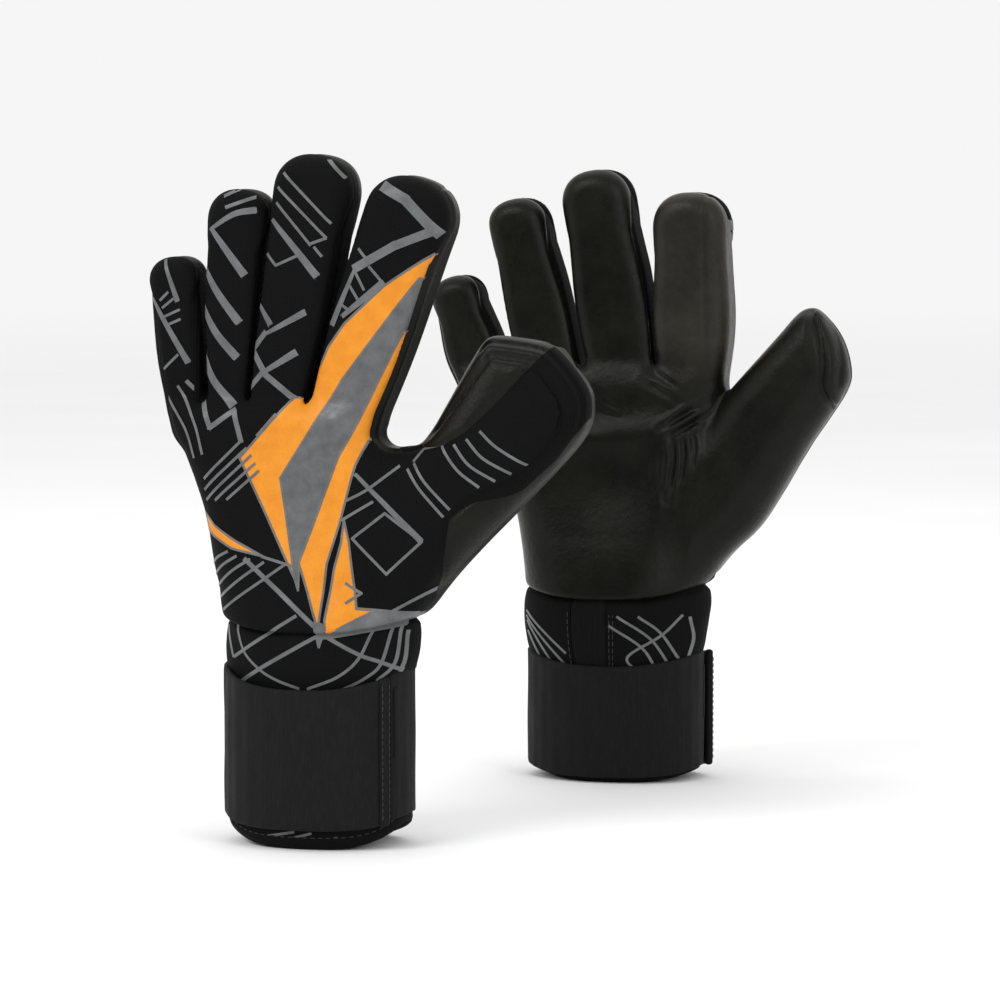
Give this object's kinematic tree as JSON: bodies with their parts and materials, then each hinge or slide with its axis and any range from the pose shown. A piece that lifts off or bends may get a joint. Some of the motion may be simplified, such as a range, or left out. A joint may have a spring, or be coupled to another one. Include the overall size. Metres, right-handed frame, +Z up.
{
  "type": "goalkeeper gloves",
  "caption": "Left and right padded goalkeeper gloves with foamed latex palms, printed backs, side strips, neoprene cuffs and peel-back wrist straps, standing on their cuffs.",
  "frame": {"origin": "the middle of the pair's footprint, on the surface the cuffs stand on", "axes": "+Z up to the fingertips; +X towards both thumbs, across the hands; -Y is where the back of the left glove's hand and the palm of the right glove's hand face"},
  "size_m": [0.2357, 0.2638, 0.2654],
  "materials": {
    "latex": "matt, soft foamed latex",
    "back_fabric": "matt coated fabric with printed grey and orange shapes",
    "gusset_mesh": "fine knitted mesh",
    "foam": "closed-cell foam",
    "lining": "brushed towelling",
    "neoprene": "fabric-faced neoprene",
    "elastic_rib": "ribbed elastic",
    "binding": "folded binding tape",
    "strap_elastic": "dense woven elastic",
    "loop_tape": "looped pile",
    "hook_tape": "moulded hooks"
  },
  "bodies": {
    "left_hand": {"left_cuff_body": "neoprene", "left_cuff_insert": "elastic_rib", "left_cuff_hem": "binding", "left_strap_band": "strap_elastic", "left_loop_patch": "loop_tape", "left_strap_anchor": "strap_elastic", "left_palm_latex": "latex", "left_palm_lining": "lining", "left_back_panel": "back_fabric", "left_back_foam": "foam"},
    "left_little": {"left_little_latex": "latex", "left_little_back": "back_fabric", "left_little_gussets": "gusset_mesh"},
    "left_ring": {"left_ring_latex": "latex", "left_ring_back": "back_fabric", "left_ring_gussets": "gusset_mesh"},
    "left_middle": {"left_middle_latex": "latex", "left_middle_back": "back_fabric", "left_middle_gussets": "gusset_mesh"},
    "left_index": {"left_index_latex": "latex", "left_index_back": "back_fabric", "left_index_gussets": "gusset_mesh"},
    "left_thumb": {"left_thumb_latex": "latex", "left_thumb_back": "back_fabric", "left_thumb_gussets": "gusset_mesh"},
    "left_flap": {"left_strap_flap": "strap_elastic", "left_hook_patch": "hook_tape", "left_strap_tab": "strap_elastic"},
    "right_hand": {"right_cuff_body": "neoprene", "right_cuff_insert": "elastic_rib", "right_cuff_hem": "binding", "right_strap_band": "strap_elastic", "right_loop_patch": "loop_tape", "right_strap_anchor": "strap_elastic", "right_palm_latex": "latex", "right_palm_lining": "lining", "right_back_panel": "back_fabric", "right_back_foam": "foam"},
    "right_little": {"right_little_latex": "latex", "right_little_back": "back_fabric", "right_little_gussets": "gusset_mesh"},
    "right_ring": {"right_ring_latex": "latex", "right_ring_back": "back_fabric", "right_ring_gussets": "gusset_mesh"},
    "right_middle": {"right_middle_latex": "latex", "right_middle_back": "back_fabric", "right_middle_gussets": "gusset_mesh"},
    "right_index": {"right_index_latex": "latex", "right_index_back": "back_fabric", "right_index_gussets": "gusset_mesh"},
    "right_thumb": {"right_thumb_latex": "latex", "right_thumb_back": "back_fabric", "right_thumb_gussets": "gusset_mesh"},
    "right_flap": {"right_strap_flap": "strap_elastic", "right_hook_patch": "hook_tape", "right_strap_tab": "strap_elastic"}
  },
  "joints": [
    {"name": "left_little_bend", "type": "hinge", "parent": "left_hand", "child": "left_little", "pos_m": [-0.1021, -0.0883, 0.166], "axis": [-1, 0, 0], "range_deg": [0, 70], "stiffness_Nm_per_rad": 0.08},
    {"name": "left_ring_bend", "type": "hinge", "parent": "left_hand", "child": "left_ring", "pos_m": [-0.0836, -0.0883, 0.166], "axis": [-1, 0, 0], "range_deg": [0, 70], "stiffness_Nm_per_rad": 0.08},
    {"name": "left_middle_bend", "type": "hinge", "parent": "left_hand", "child": "left_middle", "pos_m": [-0.0636, -0.0883, 0.166], "axis": [-1, 0, 0], "range_deg": [0, 70], "stiffness_Nm_per_rad": 0.08},
    {"name": "left_index_bend", "type": "hinge", "parent": "left_hand", "child": "left_index", "pos_m": [-0.0372, -0.0883, 0.166], "axis": [-1, 0, 0], "range_deg": [0, 70], "stiffness_Nm_per_rad": 0.08},
    {"name": "left_thumb_bend", "type": "hinge", "parent": "left_hand", "child": "left_thumb", "pos_m": [-0.0001, -0.0835, 0.1307], "axis": [-0.788, 0, 0.6157], "range_deg": [0, 50], "stiffness_Nm_per_rad": 0.08},
    {"name": "left_flap_peel", "type": "hinge", "parent": "left_hand", "child": "left_flap", "pos_m": [-0.0884, -0.1025, 0.0075], "axis": [0, 0, -1], "range_deg": [0, 110]},
    {"name": "right_little_bend", "type": "hinge", "parent": "right_hand", "child": "right_little", "pos_m": [-0.0384, 0.0893, 0.166], "axis": [1, 0, 0], "range_deg": [0, 70], "stiffness_Nm_per_rad": 0.08},
    {"name": "right_ring_bend", "type": "hinge", "parent": "right_hand", "child": "right_ring", "pos_m": [-0.0119, 0.0893, 0.166], "axis": [1, 0, 0], "range_deg": [0, 70], "stiffness_Nm_per_rad": 0.08},
    {"name": "right_middle_bend", "type": "hinge", "parent": "right_hand", "child": "right_middle", "pos_m": [0.0204, 0.0893, 0.166], "axis": [1, 0, 0], "range_deg": [0, 70], "stiffness_Nm_per_rad": 0.08},
    {"name": "right_index_bend", "type": "hinge", "parent": "right_hand", "child": "right_index", "pos_m": [0.0506, 0.0893, 0.166], "axis": [1, 0, 0], "range_deg": [0, 70], "stiffness_Nm_per_rad": 0.08},
    {"name": "right_thumb_bend", "type": "hinge", "parent": "right_hand", "child": "right_thumb", "pos_m": [0.0643, 0.0845, 0.1307], "axis": [0.788, 0, -0.6157], "range_deg": [0, 50], "stiffness_Nm_per_rad": 0.08},
    {"name": "right_flap_peel", "type": "hinge", "parent": "right_hand", "child": "right_flap", "pos_m": [-0.025, 0.1035, 0.0065], "axis": [0, 0, 1], "range_deg": [0, 110]},
    {"name": "gloves_apart", "type": "slide", "parent": "left_hand", "child": "right_hand", "axis": [1, 0, 0], "range_m": [0, 0.3]}
  ]
}
